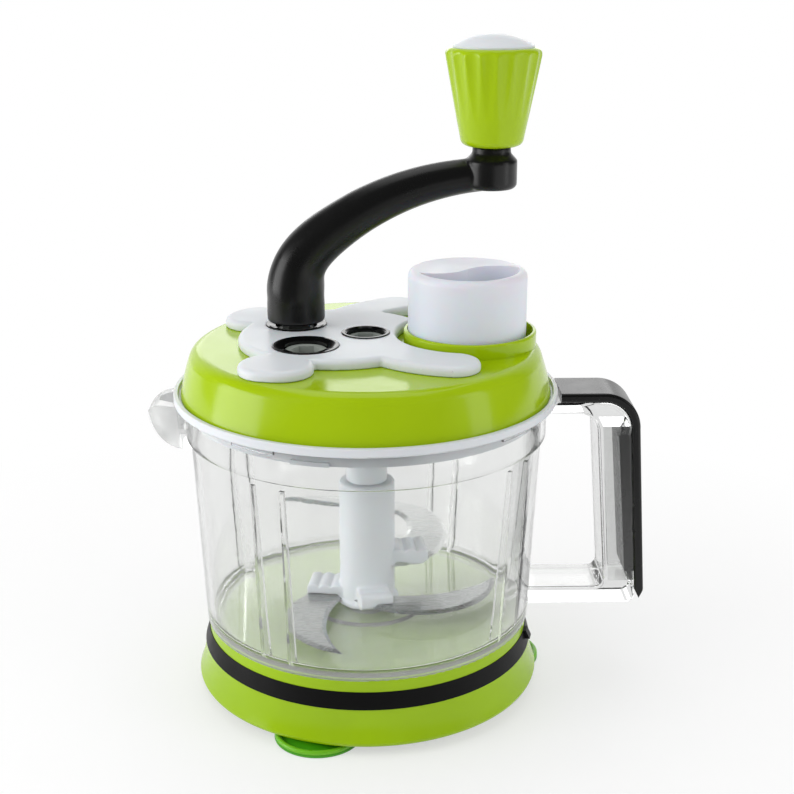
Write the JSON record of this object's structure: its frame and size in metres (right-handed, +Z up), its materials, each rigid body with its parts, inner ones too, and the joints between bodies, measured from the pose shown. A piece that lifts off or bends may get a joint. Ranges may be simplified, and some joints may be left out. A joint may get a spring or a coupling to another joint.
{
  "type": "hand crank food chopper",
  "caption": "Hand crank food chopper: clear bowl with handle and spout on a suction-foot base, geared lid with chute and pusher, bent crank with fluted knob, curved blades on a column.",
  "frame": {"origin": "on the bowl axis, in the plane of the table under the suction feet", "axes": "+Z up along the bowl axis, +X towards the handle, -X towards the spout, -Y towards the viewer of the picture"},
  "size_m": [0.2234, 0.17, 0.2915],
  "materials": {
    "green_plastic": "glossy moulded plastic",
    "foot_rubber": "soft satin rubber",
    "black_plastic": "glossy moulded plastic",
    "clear_plastic": "clear polished plastic",
    "white_plastic": "glossy moulded plastic",
    "milky_plastic": "milky translucent plastic",
    "grey_plastic": "plain moulded plastic",
    "blade_steel": "brushed",
    "pin_steel": "turned"
  },
  "bodies": {
    "base": {"base_shell": "green_plastic", "base_band": "black_plastic", "suction_foot_right": "foot_rubber", "suction_foot_back": "foot_rubber", "suction_foot_front": "foot_rubber"},
    "bowl": {"bowl": "clear_plastic", "handle_grip": "black_plastic", "pivot_pin": "pin_steel"},
    "blades": {"blade_column": "white_plastic", "lower_blade": "blade_steel", "middle_blade": "blade_steel", "upper_blade": "blade_steel"},
    "lid": {"lid_base": "white_plastic", "lid_cover": "green_plastic", "feed_chute": "green_plastic", "gear_cover": "white_plastic", "crank_socket_ring": "black_plastic", "side_socket_ring": "black_plastic", "centre_socket_ring": "black_plastic", "spindle_bush": "grey_plastic", "gear_pins": "pin_steel", "lid_screws": "pin_steel"},
    "drive_gear": {"drive_gear": "grey_plastic", "drive_hub": "grey_plastic"},
    "side_gear": {"side_gear": "grey_plastic", "side_hub": "grey_plastic"},
    "spindle": {"centre_pinion": "grey_plastic", "centre_hub": "grey_plastic", "drive_spindle": "white_plastic", "spindle_screw": "pin_steel"},
    "crank": {"crank_arm": "black_plastic", "crank_peg": "pin_steel", "knob_axle": "pin_steel"},
    "knob": {"knob_grip": "green_plastic", "knob_cap": "white_plastic"},
    "pusher": {"pusher": "milky_plastic"}
  },
  "joints": [
    {"name": "bowl_lift", "type": "slide", "parent": "base", "child": "bowl", "axis": [0, 0, 1], "range_m": [0, 0.06]},
    {"name": "lid_lift", "type": "slide", "parent": "bowl", "child": "lid", "axis": [0, 0, 1], "range_m": [0, 0.08]},
    {"name": "crank_turn", "type": "hinge", "parent": "lid", "child": "drive_gear", "pos_m": [-0.03119, 0.01589, 0.145], "axis": [0, 0, 1], "continuous": true},
    {"name": "crank_pull", "type": "slide", "parent": "drive_gear", "child": "crank", "axis": [0, 0, 1], "range_m": [0, 0.03]},
    {"name": "knob_spin", "type": "hinge", "parent": "crank", "child": "knob", "pos_m": [0.05532, 0.01589, 0.262], "axis": [0, 0, 1], "continuous": true},
    {"name": "pinion_turn", "type": "hinge", "parent": "lid", "child": "spindle", "pos_m": [0, 0, 0.145], "axis": [0, 0, 1], "continuous": true},
    {"name": "side_gear_turn", "type": "hinge", "parent": "lid", "child": "side_gear", "pos_m": [-0.02561, -0.02001, 0.15], "axis": [0, 0, 1], "continuous": true},
    {"name": "blade_turn", "type": "hinge", "parent": "bowl", "child": "blades", "pos_m": [0, 0, 0.05], "axis": [0, 0, 1], "continuous": true},
    {"name": "pusher_lift", "type": "slide", "parent": "lid", "child": "pusher", "axis": [0, 0, 1], "range_m": [0, 0.02]}
  ],
  "couplings": [
    {"joint": "pinion_turn", "follows": "crank_turn", "ratio": -2.5},
    {"joint": "side_gear_turn", "follows": "crank_turn", "ratio": 1.6935},
    {"joint": "blade_turn", "follows": "crank_turn", "ratio": -2.5}
  ]
}
